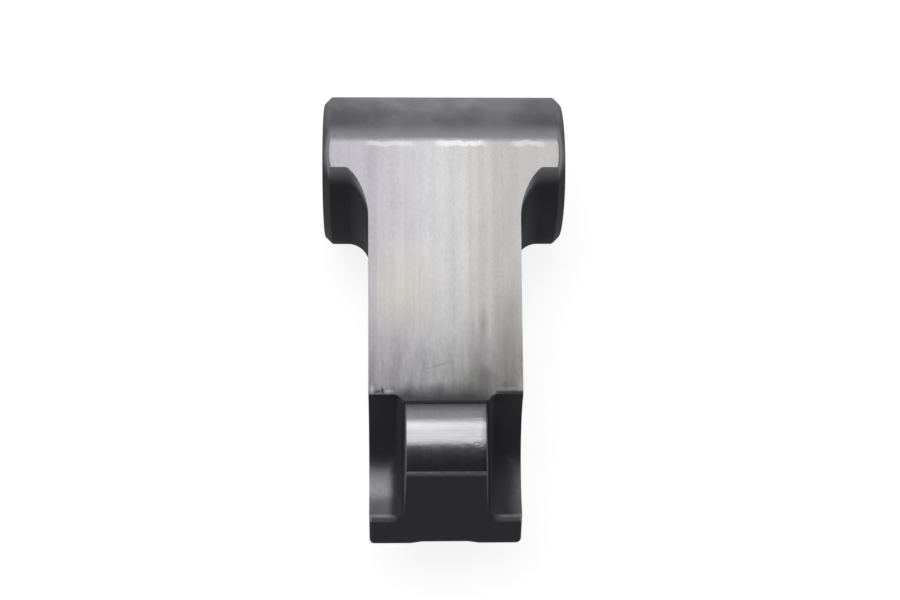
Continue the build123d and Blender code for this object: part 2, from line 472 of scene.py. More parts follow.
def forged_skin(finish):
    """Drop-forged, shot-blasted steel, with painted light and shade in its colour.

    To the eye: grey, mottled and half dull, with a fine pebbled skin and a painted patch of light
    low in the left scoop. Painted shade, shown as near black, dull iron oxide, lies on the faces
    turned to the toe, beside the web, on the hub's chamfers and upper ends and past the patch.
    Painted light lies on skin rubbed bare close under the ground flat, painted highlights along
    the top of the front face and over the scoops' lips, and the pad's step is lighter.
    """
    material, tree = new_material("forged_steel_skin")
    clouds = grain(tree, (7.0, 7.0, 7.0), 5.0, 0.6)
    # Shot leaves dimples of a quarter of a millimetre, drawn coarser so that they show
    pebbles = grain(tree, (0.8, 0.8, 0.8), 3.0)

    where = add(tree, "ShaderNodeTexCoord")
    facing = add(tree, "ShaderNodeSeparateXYZ", {"Vector": (where, "Normal")})
    axes = add(tree, "ShaderNodeSeparateXYZ", {"Vector": (where, "Object")})
    x, y, z = (axes, "X"), (axes, "Y"), (axes, "Z")
    wander = (blend(tree, [(clouds, "Fac", 2.0 * MM)], 0.0), "Value")
    aside = (add(tree, "ShaderNodeMath", {0: y}, operation="ABSOLUTE"), "Value")
    along = (add(tree, "ShaderNodeMath", {0: x, 1: wander}, operation="ADD"), "Value")
    across = (add(tree, "ShaderNodeMath", {0: y, 1: wander}, operation="ADD"), "Value")

    # Smooth masks: what each follows, where it is nothing and where it is full. The left scoop
    # has a painted patch of light, and the step is the one down from the flat to the pad
    masks = {}
    for name, value, none, full in (
        ("turned away", (facing, "X"), -0.1, 0.24),
        ("turned up", (facing, "Z"), 0.1, 0.5),
        ("left corner", across, -16.0 * MM, -12.5 * MM),
        ("right corner", across, 22.0 * MM, 15.5 * MM),
        ("toe", x, 58.0 * MM, 62.0 * MM),
        ("toe top", z, 0.5 * MM, 4.5 * MM),
        ("left chamfer", y, -29.0 * MM, -33.5 * MM),
        ("right chamfer", y, 29.0 * MM, 33.5 * MM),
        ("patch side", across, -13.2 * MM, -15.2 * MM),
        ("patch start", along, 80.5 * MM, 83.0 * MM),
        ("patch end", along, 91.0 * MM, 87.4 * MM),
        ("past patch", along, 87.4 * MM, 91.0 * MM),
        ("lip start", x, 93.5 * MM, 94.5 * MM),
        ("lip end", x, 95.9 * MM, 95.0 * MM),
        ("beside web", aside, 11.6 * MM, 15.0 * MM),
        ("hub end", aside, 12.0 * MM, 26.0 * MM),
        ("hub top", x, 0.0 * MM, -4.0 * MM),
        ("front top", x, 84.9 * MM, 84.1 * MM),
        ("step start", x, 64.9 * MM, 65.2 * MM),
        ("step end", x, 66.5 * MM, 66.1 * MM),
        ("past pad", x, 83.2 * MM, 83.7 * MM),
        ("on web", aside, 10.5 * MM, 10.1 * MM),
        ("under flat", z, (flat_height - 1.5) * MM, (flat_height + 0.1) * MM),
        ("hub side", x, 24.0 * MM, 18.0 * MM),
    ):
        settings = {"Value": value, "From Min": none, "From Max": full}
        node = add(tree, "ShaderNodeMapRange", settings, interpolation_type="SMOOTHSTEP")
        masks[name] = (node, "Result")

    def both(*names):
        """Product of the masks with these names, as a (node, output) pair."""
        product = masks[names[0]]
        for name in names[1:]:
            settings = {0: product, 1: masks[name]}
            product = (add(tree, "ShaderNodeMath", settings, operation="MULTIPLY"), "Value")
        return product

    # Painted shade, shown as old scale that hides the metal: on faces turned to the toe, in the
    # toe's middle beside the web, on the hub's chamfers and past the left scoop's patch
    settings = {0: both("past patch", "patch side"), 1: 0.3}
    masks["scoop_end_shade"] = (add(tree, "ShaderNodeMath", settings, operation="MULTIPLY"), "Value")
    scale_shade = both("left corner", "right corner", "toe", "toe top")
    for name in ("turned away", "left chamfer", "right chamfer", "scoop_end_shade"):
        settings = {0: scale_shade, 1: masks[name]}
        scale_shade = (add(tree, "ShaderNodeMath", settings, operation="MAXIMUM"), "Value")
    metal = add(tree, "ShaderNodeMapRange", {"Value": scale_shade, "To Min": 0.85, "To Max": 0.1})
    metal = (metal, "Result")

    spread = add(
        tree, "ShaderNodeMapRange", {"Value": (clouds, "Fac"), "From Min": 0.3, "From Max": 0.7}
    )
    dark, light = linear(finish.skin_dark), linear(finish.skin_light)
    tone = add(
        tree,
        "ShaderNodeMix",
        {"Factor": (spread, "Result"), "A": dark, "B": light},
        data_type="RGBA",
    )
    # Painted shade on the hub's upper ends
    hub_end_shade = add(
        tree, "ShaderNodeMath", {0: both("hub end", "hub top"), 1: 0.35}, operation="MULTIPLY"
    )
    layers = [(scale_shade, finish.scale_and_shade), ((hub_end_shade, "Value"), finish.scale_and_shade)]

    # Lighter, more metallic places: a painted patch of light in the left scoop, painted highlights
    # over the scoops' lips and along the top of the front face, a lighter pad step, and skin rubbed
    # bare with painted light close under the flat by the hub
    for names, strength in (
        (("patch side", "patch start", "patch end", "turned up"), 0.75),
        (("lip start", "lip end", "beside web", "turned up"), 0.72),
        (("past pad", "front top", "on web", "turned up"), 0.4),
        (("step start", "step end", "on web", "turned up"), 0.4),
        (("under flat", "hub side"), 0.9),
    ):
        settings = {0: both(*names), 1: strength}
        bare_and_lit = (add(tree, "ShaderNodeMath", settings, operation="MULTIPLY"), "Value")
        layers.append((bare_and_lit, finish.rubbed_and_lit))
        settings = {0: metal, 1: bare_and_lit}
        metal = (add(tree, "ShaderNodeMath", settings, operation="MAXIMUM"), "Value")
    for mask, colour in layers:
        tone = add(
            tree,
            "ShaderNodeMix",
            {"Factor": mask, "A": (tone, "Result"), "B": linear(colour)},
            data_type="RGBA",
        )
    settings = {"From Min": 0.3, "From Max": 0.7, "To Min": 0.42, "To Max": 0.52}
    rough = add(tree, "ShaderNodeMapRange", {"Value": (pebbles, "Fac"), **settings})
    relief = add(
        tree,
        "ShaderNodeBump",
        {"Height": (pebbles, "Fac"), "Strength": 0.5, "Distance": 0.02 * MM},
    )
    shader = add(
        tree,
        "ShaderNodeBsdfPrincipled",
        {
            "Base Color": (tone, "Result"),
            "Metallic": metal,
            "Roughness": (rough, "Result"),
            "Specular IOR Level": 0.25,
            "Normal": (relief, "Normal"),
        },
    )
    add(tree, "ShaderNodeOutputMaterial", {"Surface": (shader, "BSDF")})
    return material


def worn_edges(finish):
    """Steel edges rubbed through their scale by handling, with painted shade towards the toe and on
    the right.

    To the eye: thin dull lines, a little paler than the skin beside them.
    """
    material, tree = new_material("worn_steel_edges")
    wear = grain(tree, (4.0, 2.5, 4.0), 3.0)
    where = add(tree, "ShaderNodeTexCoord")
    axes = add(tree, "ShaderNodeSeparateXYZ", {"Vector": (where, "Object")})
    shares = []
    # Painted shade: the edges go back to scale towards the toe and on the right
    for value, start, end, least, most in (
        ((axes, "X"), 92.0 * MM, 74.0 * MM, 0.0, 1.0),
        ((axes, "Y"), 4.0 * MM, 8.0 * MM, 1.0, 0.5),
        ((wear, "Fac"), 0.35, 0.65, 0.0, 1.0),
    ):
        node = add(
            tree,
            "ShaderNodeMapRange",
            {"Value": value, "From Min": start, "From Max": end, "To Min": least, "To Max": most},
        )
        shares.append((node, "Result"))
    towards_hub, sided, spread = shares
    painted_shading = add(tree, "ShaderNodeMath", {0: towards_hub, 1: sided}, operation="MULTIPLY")
    dark, light = linear(finish.worn_dark), linear(finish.worn_light)
    patchy = add(
        tree, "ShaderNodeMix", {"Factor": spread, "A": dark, "B": light}, data_type="RGBA"
    )
    scale_and_shade = linear(finish.scale_and_shade)
    tone = add(
        tree,
        "ShaderNodeMix",
        {"Factor": (painted_shading, "Value"), "A": scale_and_shade, "B": (patchy, "Result")},
        data_type="RGBA",
    )
    shader = add(
        tree,
        "ShaderNodeBsdfPrincipled",
        {"Base Color": (tone, "Result"), "Metallic": 0.9, "Roughness": 0.45},
    )
    add(tree, "ShaderNodeOutputMaterial", {"Surface": (shader, "BSDF")})
    return material


def turned_steel(finish):
    """Steel faced in a lathe. To the eye: fine rings round the bore that smear light into a fan."""
    material, tree = new_material("turned_steel")
    where = add(tree, "ShaderNodeTexCoord")
    axes = add(tree, "ShaderNodeSeparateXYZ", {"Vector": (where, "Object")})
    section = add(tree, "ShaderNodeCombineXYZ", {"X": (axes, "X"), "Y": (axes, "Z")})
    radius = add(
        tree, "ShaderNodeVectorMath", {"Vector": (section, "Vector")}, operation="LENGTH"
    )
    rings = add(
        tree,
        "ShaderNodeTexNoise",
        {"W": (radius, "Value"), "Scale": 1 / (TOOL_FEED * MM), "Detail": 3.0},
        noise_dimensions="1D",
    )
    dark, light = linear(finish.turned_dark), linear(finish.turned_light)
    tone = add(
        tree,
        "ShaderNodeMix",
        {"Factor": (rings, "Fac"), "A": dark, "B": light},
        data_type="RGBA",
    )
    marks = add(
        tree,
        "ShaderNodeBump",
        {"Height": (rings, "Fac"), "Strength": 0.3, "Distance": 0.02 * MM},
    )
    around = add(tree, "ShaderNodeTangent", direction_type="RADIAL", axis="Y")
    shader = add(
        tree,
        "ShaderNodeBsdfPrincipled",
        {
            "Base Color": (tone, "Result"),
            "Metallic": 1.0,
            "Roughness": 0.3,
            "Anisotropic": 0.6,
            "Anisotropic Rotation": 0.25,
            "Normal": (marks, "Normal"),
            "Tangent": (around, "Tangent"),
        },
    )
    add(tree, "ShaderNodeOutputMaterial", {"Surface": (shader, "BSDF")})
    return material


def bored_bronze(finish):
    """Leaded bronze bushing, bored. To the eye: warm brown gold with fine rings along the bore."""
    material, tree = new_material("bored_bronze")
    rings = grain(tree, (20.0, TOOL_FEED, 20.0), 3.0)
    dark, light = linear(finish.bronze_dark), linear(finish.bronze_light)
    tone = add(
        tree,
        "ShaderNodeMix",
        {"Factor": (rings, "Fac"), "A": dark, "B": light},
        data_type="RGBA",
    )
    marks = add(
        tree,
        "ShaderNodeBump",
        {"Height": (rings, "Fac"), "Strength": 0.3, "Distance": 0.02 * MM},
    )
    shader = add(
        tree,
        "ShaderNodeBsdfPrincipled",
        {
            "Base Color": (tone, "Result"),
            "Metallic": 1.0,
            "Roughness": 0.34,
            "Normal": (marks, "Normal"),
        },
    )
    add(tree, "ShaderNodeOutputMaterial", {"Surface": (shader, "BSDF")})
    return material


# --- The arm's surfaces -----------------------------------------------------------------------


def front_height(x):
    """Height of the sloping front face over the shaft's axis."""
    slope = (FRONT_TOP[1] - TOE_EDGE_HEIGHT) / (toe_reach - FRONT_TOP[0])
    return TOE_EDGE_HEIGHT + (toe_reach - x) * slope


def top_height(x):
    """Height of the flat, the pad or the front face over the shaft's axis."""
    if x < flat_end:
        return flat_height
    if x < PAD_END[0]:
        return pad_z + sqrt(max(PAD_RADIUS**2 - (x - PAD_REACH) ** 2, 0.0))
    if x < FRONT_TOP[0]:
        return PAD_END[1]
    return front_height(x)


def scoop_axis():
    """Place of the scoops' axis, as (x, z)."""
    run, fall = scoop_end - scoop_start, flat_height - front_height(scoop_end)
    chord = hypot(run, fall)
    offset = sqrt(SCOOP_RADIUS**2 - (chord / 2) ** 2)
    x = (scoop_start + scoop_end) / 2 + offset * fall / chord
    return x, flat_height - fall / 2 + offset * run / chord


def lip_round():
    """Round that touches the scoop and the front face: its axis and where it starts and ends."""
    x, z = scoop_axis()
    down = Vector((1, front_height(1) - front_height(0))).normalized()
    out = Vector((-down.y, down.x))
    axis = Vector((x, z))
    foot = Vector((scoop_end, front_height(scoop_end))) - out * LIP_RADIUS - axis
    far = SCOOP_RADIUS + LIP_RADIUS
    step = -foot.dot(down) + sqrt(foot.dot(down) ** 2 - foot.length_squared + far**2)
    lip = foot + down * step
    start = axis + lip * (SCOOP_RADIUS / far)
    end = axis + lip + out * LIP_RADIUS
    return (*(axis + lip), start.x, end.x)


class Round:
    """A surface that is round about an axis along y, seen from outside or inside."""

    def __init__(self, finish, x, z, radius, inside=False, within=(-inf, inf)):
        self.finish = finish
        self.x, self.z, self.radius = x, z, radius
        self.sense = -1 if inside else 1
        self.start, self.end = within

    def normal(self, point):
        """The surface's own normal at a point, in metres."""
        out = Vector((point.x / MM - self.x, 0, point.z / MM - self.z))
        return out.normalized() * self.sense

    def holds(self, face):
        """True for a face that stands for a part of the surface."""
        middle = face.calc_center_median()
        away = hypot(middle.x / MM - self.x, middle.z / MM - self.z)
        near = abs(away - self.radius) < NEAR and self.start < middle.x / MM < self.end
        return near and face.normal.dot(self.normal(middle)) > ALIGNED


class Cone:
    """A 45 degree chamfer at the hub's ends."""

    def __init__(self, finish, y_from, inside=False):
        self.finish = finish
        self.y_from = y_from
        self.sense = -1 if inside else 1

    def normal(self, point):
        """The chamfer's own normal at a point, in metres."""
        out = Vector((point.x, 0, point.z)).normalized() * self.sense
        return (out + Vector((0, 1 if point.y > 0 else -1, 0))).normalized()

    def holds(self, face):
        """True for a face that stands for a part of the chamfer."""
        middle = face.calc_center_median()
        steep = face.normal.dot(self.normal(middle)) > ALIGNED
        return steep and abs(middle.y) / MM > self.y_from


class Plane:
    """A flat face, told by its normal and its middle."""

    def __init__(self, finish, test):
        self.finish = finish
        self.test = test

    def holds(self, face):
        """True for a face that passes the test."""
        return self.test(face.normal, face.calc_center_median() / MM)


class SoftEdge(Plane):
    """A rounded or broken edge. Its corners take the mean of the faces round them."""


def on_ledge(normal, middle):
    """True for the small slope where the pad's grinding stops."""
    return PAD_END[0] < middle.x < FRONT_TOP[0] and -0.5 < normal.x < -0.1


def on_broken_edge(normal, middle):
    """True for the narrow chamfers along the web and round the scoops."""
    depth = top_height(middle.x) - middle.z
    near_edge = -0.2 < depth < EDGE_BREAK and 0.2 < normal.z < 0.98
    in_reach = scoop_start - EDGE_BREAK < middle.x < scoop_end - 2 * LIP_RADIUS
    return near_edge and in_reach and abs(middle.y) > PAD_HALF_WIDTH - EDGE_BREAK


def arm_surfaces():
    """The arm's surfaces in the order in which a face is tried against them."""
    bushing_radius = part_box(BUSHING)[1].z / MM
    lip_x, lip_z, lip_start, lip_end = lip_round()
    return [
        Plane("ground", lambda n, c: n.z > LEVEL and abs(c.z - flat_height) < NEAR_LEVEL),
        Round("polished", PAD_REACH, pad_z, PAD_RADIUS),
        Round("skin", 0, 0, hub_radius),
        Round("turned", 0, 0, bushing_radius, inside=True),
        Cone("skin", hub_half - HUB_CHAMFER - SLACK),
        Cone("turned", hub_half - MOUTH, inside=True),
        Plane("turned", lambda n, c: abs(n.y) > 0.9999 and abs(c.y) > hub_half - NEAR_LEVEL),
        Round("skin", *scoop_axis(), SCOOP_RADIUS, inside=True),
        Round("skin", lip_x, lip_z, LIP_RADIUS, within=(lip_start, lip_end)),
        Plane("worn", on_ledge),
        SoftEdge("worn", on_broken_edge),
    ]


def welded(node):
    """The node's mesh welded, with its flat faces made whole and marked, and the marks' layer."""
    bm = bmesh.new()
    bm.from_mesh(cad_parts[node].data)
    bmesh.ops.remove_doubles(bm, verts=bm.verts, dist=0.0001 * MM)
    bmesh.ops.dissolve_limit(bm, angle_limit=radians(0.05), verts=bm.verts, edges=bm.edges)
    kind = bm.faces.layers.int.new("surface")
    for face in bm.faces:
        if len(face.verts) > 4:
            face[kind] = ONE_FLAT
    return bm, kind


def cut(bm, axis, places, keep):
    """Cuts the faces that keep accepts at each place along an axis, in millimetres."""
    direction = Vector([float(number == axis) for number in range(3)])
    for place in places:
        faces = [face for face in bm.faces if keep(face)]
        # A dict drops repeats as a set does, and keeps their order
        edges = dict.fromkeys(edge for face in faces for edge in face.edges)
        verts = dict.fromkeys(vert for face in faces for vert in face.verts)
        bmesh.ops.bisect_plane(
            bm,
            geom=[*verts, *edges, *faces],
            dist=0.0005 * MM,
            plane_co=direction * place * MM,
            plane_no=direction,
        )


def spaced(start, end, count):
    """Places from start to end, both counted."""
    return [start + (end - start) * step / (count - 1) for step in range(count)]


def share(value, none, full):
    """Smooth share from 0 at none to 1 at full."""
    t = min(max((value - none) / (full - none), 0.0), 1.0)
    return t * t * (3 - 2 * t)


def wear_lip(bm, kind):
    """Rounds the lip where each scoop runs out on the front face, less beside the web."""
    x_axis, z_axis = scoop_axis()
    lip_x, lip_z, start, end = lip_round()
    slope = front_height(1) - front_height(0)
    tangent = Vector((z_axis - front_height(scoop_end), scoop_end - x_axis)).normalized()
    front = Vector((1, slope)).normalized()
    corner = Vector((scoop_end, front_height(scoop_end)))
    first, last = corner - tangent * EDGE_BREAK, corner + front * EDGE_BREAK

    def drop(x):
        """Depth from the scoop, the broken edge or the front face down to the round."""
        if x < first.x:
            height = z_axis - sqrt(SCOOP_RADIUS**2 - (x - x_axis) ** 2)
        elif x > last.x:
            height = front_height(x)
        else:
            height = first.y + (last.y - first.y) * (x - first.x) / (last.x - first.x)
        return max(height - lip_z - sqrt(LIP_RADIUS**2 - (x - lip_x) ** 2), 0.0)

    def reaches_lip(face):
        """True for an upper face that reaches into the lip."""
        xs = [vert.co.x / MM for vert in face.verts]
        widest = max(abs(vert.co.y / MM) for vert in face.verts)
        near = max(xs) > start and min(xs) < end and widest > LIP_FADE[0]
        return near and face.normal.z > 0.25

    def on_lip(face):
        """True for an upper face whose middle lies on the lip."""
        return reaches_lip(face) and start < face.calc_center_median().x / MM < end

    cut(bm, 0, spaced(start, end, LIP_CUTS), reaches_lip)
    cut(bm, 1, [side * y for y in spaced(*LIP_FADE, FADE_CUTS) for side in (-1, 1)], on_lip)
    bm.normal_update()
    for vert in bm.verts:
        x, y = vert.co.x / MM, abs(vert.co.y / MM)
        upper = vert.co.z / MM > top_height(x) - TOP_DEPTH and vert.normal.z > 0.1
        amount = drop(x) * share(y, *LIP_FADE) if upper and start < x < end + END_SLACK else 0.0
        if amount > 0:
            vert.co.z -= amount * MM
            for face in vert.link_faces:
                face[kind] = UNKNOWN


def on_flat_side(edge):
    """True for the sharp edges along the flat, from the hub to the scoops."""
    ends = [vert.co / MM for vert in edge.verts]
    on_flat = any(face.normal.z > LEVEL for face in edge.link_faces)
    return on_flat and all(abs(p.z - flat_height) < 0.01 and p.x < scoop_start - 1 for p in ends)


def on_hub_rim(edge):
    """True for the edges of the chamfers at the hub's ends."""
    ends = [vert.co / MM for vert in edge.verts]
    chamfered = HUB_CHAMFER + SLACK
    outer = all(hypot(p.x, p.z) > hub_radius - chamfered for p in ends)
    return outer and all(abs(p.y) > hub_half - chamfered for p in ends)


def wear_edges(bm, kind, picked, width, number):
    """Bevels the sharp edges that picked accepts. The new faces get the number as their kind."""
    bm.normal_update()
    edges = [
        edge
        for edge in bm.edges
        if edge.is_manifold and edge.calc_face_angle(0) > SHARP and picked(edge)
    ]
    settings = {"segments": 2, "profile": 0.5, "affect": "EDGES", "clamp_overlap": True}
    made = bmesh.ops.bevel(bm, geom=edges, offset=width * MM, **settings)
    for face in made["faces"]:
        face[kind] = number


def mark_surfaces(bm, kind, surfaces, finishes):
    """Gives each face the number of its surface, counted from one, and its finish."""
    bm.normal_update()
    for face in bm.faces:
        face.smooth = True
        for number, surface in enumerate(surfaces, 1):
            if face[kind] == number or surface.holds(face):
                face[kind] = number
                face.material_index = finishes.index(surface.finish)
                break
        else:
            face.material_index = finishes.index("skin")


def true_normals(bm, kind, surfaces):
    """Each corner's normal from the true surface, so that facets don't show."""
    normals = []
    for face in bm.faces:
        surface = surfaces[face[kind] - 1] if face[kind] > 0 else None
        for loop in face.loops:
            if isinstance(surface, (Round, Cone)):
                normals.append(surface.normal(loop.vert.co))
            elif face[kind] == ONE_FLAT or (surface and not isinstance(surface, SoftEdge)):
                normals.append(face.normal.copy())
            else:
                normals.append(soft_normal(loop, face, kind, surfaces))
    return normals


def soft_normal(loop, face, kind, surfaces):
    """Normal of a fillet at a corner: its own smooth mean, or the surface it runs into."""
    total = Vector()
    for other in loop.vert.link_faces:
        if other.normal.dot(face.normal) < cos(CREASE):
            continue
        corner = next(l for l in other.loops if l.vert is loop.vert)
        total += other.normal * corner.calc_angle()
    mean = total.normalized()
    for other in loop.vert.link_faces:
        surface = surfaces[other[kind] - 1] if other[kind] > 0 else None
        if other[kind] == UNKNOWN or isinstance(surface, SoftEdge):
            continue
        flat = surface is None or isinstance(surface, Plane)
        true = other.normal if flat else surface.normal(loop.vert.co)
        if true.dot(mean) > cos(RUN_IN):
            return true.copy()
    return mean


def map_across(bm):
    """UV map whose U runs across the arm, in millimetres, for the streaks' direction."""
    layer = bm.loops.layers.uv.new(UV_ACROSS)
    for face in bm.faces:
        for loop in face.loops:
            point = loop.vert.co / MM
            along = atan2(point.x, point.z) * hub_radius if point.x < 0 else point.x
            loop[layer].uv = (point.y, along + point.z * UPRIGHT)


def mesh_object(name, bm, normals, materials):
    """Puts a bmesh into a new object with its materials and corner normals."""
    mesh = bpy.data.meshes.new(name)
    bm.to_mesh(mesh)
    bm.free()
    mesh.normals_split_custom_set(normals)
    for material in materials:
        mesh.materials.append(material)
    piece = bpy.data.objects.new(name, mesh)
    bpy.context.scene.collection.objects.link(piece)
    return piece


# --- Settings ---------------------------------------------------------------------------------


class ROCKER_PG_finish(bpy.types.PropertyGroup):
    """Colours and pattern sizes of the finishes."""

    ground_light: bpy.props.StringProperty(
        name="Ground steel, light",
        description="sRGB colour of the bright streaks",
        default="#F0EFF0",
    )
    ground_dark: bpy.props.StringProperty(
        name="Ground steel, dark",
        description="sRGB colour of the dull streaks",
        default="#CBCACB",
    )
    streak_spacing: bpy.props.FloatProperty(
        name="Streak spacing",
        description="Mean distance between the belt's streaks, in millimetres",
        default=0.7,
        min=0.1,
        max=5.0,
    )
    # Painted highlights: the flat's bright strips and the pad's bright band
    painted_highlight: bpy.props.StringProperty(
        name="Burnished steel",
        description="sRGB colour of the flat's bright strips and the pad's bright line",
        default="#F7F7F7",
    )
    # Painted shade beside the pad's step and towards the pad; also darker near the hub's edge and
    # at the pad's right end
    grime: bpy.props.StringProperty(
        name="Grime",
        description="sRGB colour of the flat's unground and dirty ends",
        default="#6A6970",
    )
    pad_light: bpy.props.StringProperty(
        name="Pad, light", description="sRGB colour of the polished pad", default="#D6D6D9"
    )
    pad_dark: bpy.props.StringProperty(
        name="Pad, dark", description="sRGB colour of its wear lines", default="#BEBEC3"
    )
    skin_light: bpy.props.StringProperty(
        name="Forged skin, light", description="sRGB colour of its pale clouds", default="#BABABE"
    )
    skin_dark: bpy.props.StringProperty(
        name="Forged skin, dark", description="sRGB colour of its dark clouds", default="#9A9AA0"
    )
    # Painted shade, shown as old scale
    scale_and_shade: bpy.props.StringProperty(
        name="Old scale",
        description="sRGB colour of the scale left by the forge",
        default="#56555C",
    )
    # Painted light and highlights, shown as skin rubbed bare
    rubbed_and_lit: bpy.props.StringProperty(
        name="Rubbed skin",
        description="sRGB colour of skin rubbed or blasted bare",
        default="#C4C4C8",
    )
    worn_light: bpy.props.StringProperty(
        name="Worn edges, light",
        description="sRGB colour of the edges' barest spots",
        default="#A2A2A6",
    )
    worn_dark: bpy.props.StringProperty(
        name="Worn edges, dark",
        description="sRGB colour of the edges between them",
        default="#6C6C70",
    )
    turned_light: bpy.props.StringProperty(
        name="Turned steel, light", description="sRGB colour of the cut rings", default="#C2C2C4"
    )
    turned_dark: bpy.props.StringProperty(
        name="Turned steel, dark", description="sRGB colour between the rings", default="#A8A8AB"
    )
    bronze_light: bpy.props.StringProperty(
        name="Bronze, light", description="sRGB colour of the bored bronze", default="#CFA468"
    )
    bronze_dark: bpy.props.StringProperty(
        name="Bronze, dark", description="sRGB colour of its duller rings", default="#B0864E"
    )


class ROCKER_PG_stage(bpy.types.PropertyGroup):
    """Camera, lamps and floor."""

    tilt: bpy.props.FloatProperty(
        name="Camera tilt",
        description="Lean of the camera from straight over the flat towards the toe",
        default=radians(9.9),
        subtype="ANGLE",
    )
    lean: bpy.props.FloatProperty(
        name="Camera lean",
        description="Lean of the camera to the arm's left",
        default=radians(1.9),
        subtype="ANGLE",
    )
    roll: bpy.props.FloatProperty(
        name="Camera roll",
        description="Turn of the camera about its own line of sight, anticlockwise",
        default=radians(-0.1),
        subtype="ANGLE",
    )
    distance: bpy.props.FloatProperty(
        name="Camera distance",
        description="Camera to the middle of the flat",
        default=0.4123,
        unit="LENGTH",
    )
    lens: bpy.props.FloatProperty(
        name="Lens", description="Focal length on a 36 mm sensor, in millimetres", default=64.0
    )
    key: bpy.props.FloatProperty(
        name="Softbox", description="Brightness of the softbox, where 1 is white", default=1.0
    )
    softbox_turn: bpy.props.FloatProperty(
        name="Softbox turn",
        description="Turn of the softbox about the line from it to the arm",
        default=radians(14),
        subtype="ANGLE",
    )


# --- Stage ------------------------------------------------------------------------------------

# In metres
FLOOR_SIZE = 8.0
SHADE_REACH = 0.3  # how far off the arm shades the floor's reflection
SOFTBOX_DISTANCE = 4.0
SOFTBOX_WIDTH = 3.2
SOFTBOX_ASIDE = 1.0  # to the left

SOFTBOX_EDGES = (radians(7.0), radians(39.4))  # from straight up, beyond the hub
FLOOR_GLOW = 0.85  # lifts the floor's colour to white
MIRRORED_FLOOR = 0.55  # share of that which metal and glass show
MIRRORED_WALLS = 0.45  # and of the white walls
SENSOR_WIDTH = 36.0  # in millimetres
AIM = (39.3, 1.2)  # what the camera looks at on the flat, in millimetres

# Light of the room, from straight beyond the hub to straight beyond the toe
ROOM = (
    (0.0, "#88888A"),
    (0.03, "#949496"),
    (0.06, "#9A9A9C"),
    (0.12, "#A6A6A8"),
    (0.18, "#A8A8AA"),
    (0.44, "#686868"),
    (0.5, "#4A4A4C"),
    (0.57, "#3E3E40"),
    (0.65, "#303032"),
    (1.0, "#2C2C2E"),
)


def make_floor():
    """White floor at the hub's lowest point. It keeps the arm's shadow.

    The camera sees it white. Metal and glass show it about half as bright, apart from the shade
    close under the arm.
    """
    material, tree = new_material("white_floor")
    white = add(tree, "ShaderNodeBsdfDiffuse", {"Color": linear("#E6E6E6")})
    path = add(tree, "ShaderNodeLightPath")
    shade = add(tree, "ShaderNodeAmbientOcclusion", {"Distance": SHADE_REACH})
    deeper = add(tree, "ShaderNodeMath", {0: (shade, "AO"), 1: 3.0}, operation="POWER")
    seen = (path, "Is Glossy Ray")
    for value, operation in (
        ((path, "Is Transmission Ray"), "MAXIMUM"),
        ((deeper, "Value"), "MULTIPLY"),
        (MIRRORED_FLOOR, "MULTIPLY"),
        ((path, "Is Camera Ray"), "MAXIMUM"),
        (FLOOR_GLOW, "MULTIPLY"),
    ):
        seen = (add(tree, "ShaderNodeMath", {0: seen, 1: value}, operation=operation), "Value")
    glow = add(tree, "ShaderNodeEmission", {"Color": (1, 1, 1, 1), "Strength": seen})
    both = add(tree, "ShaderNodeAddShader", {0: (white, "BSDF"), 1: (glow, "Emission")})
    add(tree, "ShaderNodeOutputMaterial", {"Surface": (both, "Shader")})
    half, z = FLOOR_SIZE / 2, arm_low.z * MM
    mesh = bpy.data.meshes.new("floor")
    corners = [(-half, -half, z), (half, -half, z), (half, half, z), (-half, half, z)]
    mesh.from_pydata(corners, [], [(0, 1, 2, 3)])
    mesh.materials.append(material)
    floor = bpy.data.objects.new("floor", mesh)
    bpy.context.scene.collection.objects.link(floor)


def make_world(scene):
    """White behind, and dim room light: lighter beyond the hub, dark beyond the toe.

    Metal and glass show the white too, at less than half its strength, low down where walls
    stand.
    """
    scene.world = bpy.data.worlds.new("studio")
    scene.world.use_nodes = True
    tree = scene.world.node_tree
    tree.nodes.clear()
    where = add(tree, "ShaderNodeTexCoord")
    axes = add(tree, "ShaderNodeSeparateXYZ", {"Vector": (where, "Generated")})
    along = add(
        tree, "ShaderNodeMapRange", {"Value": (axes, "X"), "From Min": -1.0, "From Max": 1.0}
    )
    room = add(tree, "ShaderNodeValToRGB", {"Fac": (along, "Result")})
    set_stops(room.color_ramp, ROOM)
    path = add(tree, "ShaderNodeLightPath")
    low = add(
        tree,
        "ShaderNodeMapRange",
        {"Value": (axes, "Z"), "From Min": 0.62, "From Max": 0.3, "To Max": MIRRORED_WALLS},
        interpolation_type="SMOOTHSTEP",
    )
    off_hub = add(
        tree,
        "ShaderNodeMapRange",
        {"Value": (axes, "X"), "From Min": -0.6, "From Max": -0.1},
        interpolation_type="SMOOTHSTEP",
    )
    seen = (path, "Is Glossy Ray")
    for value, operation in (
        ((path, "Is Transmission Ray"), "MAXIMUM"),
        ((low, "Result"), "MULTIPLY"),
        ((off_hub, "Result"), "MULTIPLY"),
        ((path, "Is Camera Ray"), "MAXIMUM"),
    ):
        seen = (add(tree, "ShaderNodeMath", {0: seen, 1: value}, operation=operation), "Value")
    colour = add(
        tree,
        "ShaderNodeMix",
        {"Factor": seen, "A": (room, "Color"), "B": (1, 1, 1, 1)},
        data_type="RGBA",
    )
    light = add(tree, "ShaderNodeBackground", {"Color": (colour, "Result"), "Strength": 1.0})
    add(tree, "ShaderNodeOutputWorld", {"Surface": (light, "Background")})


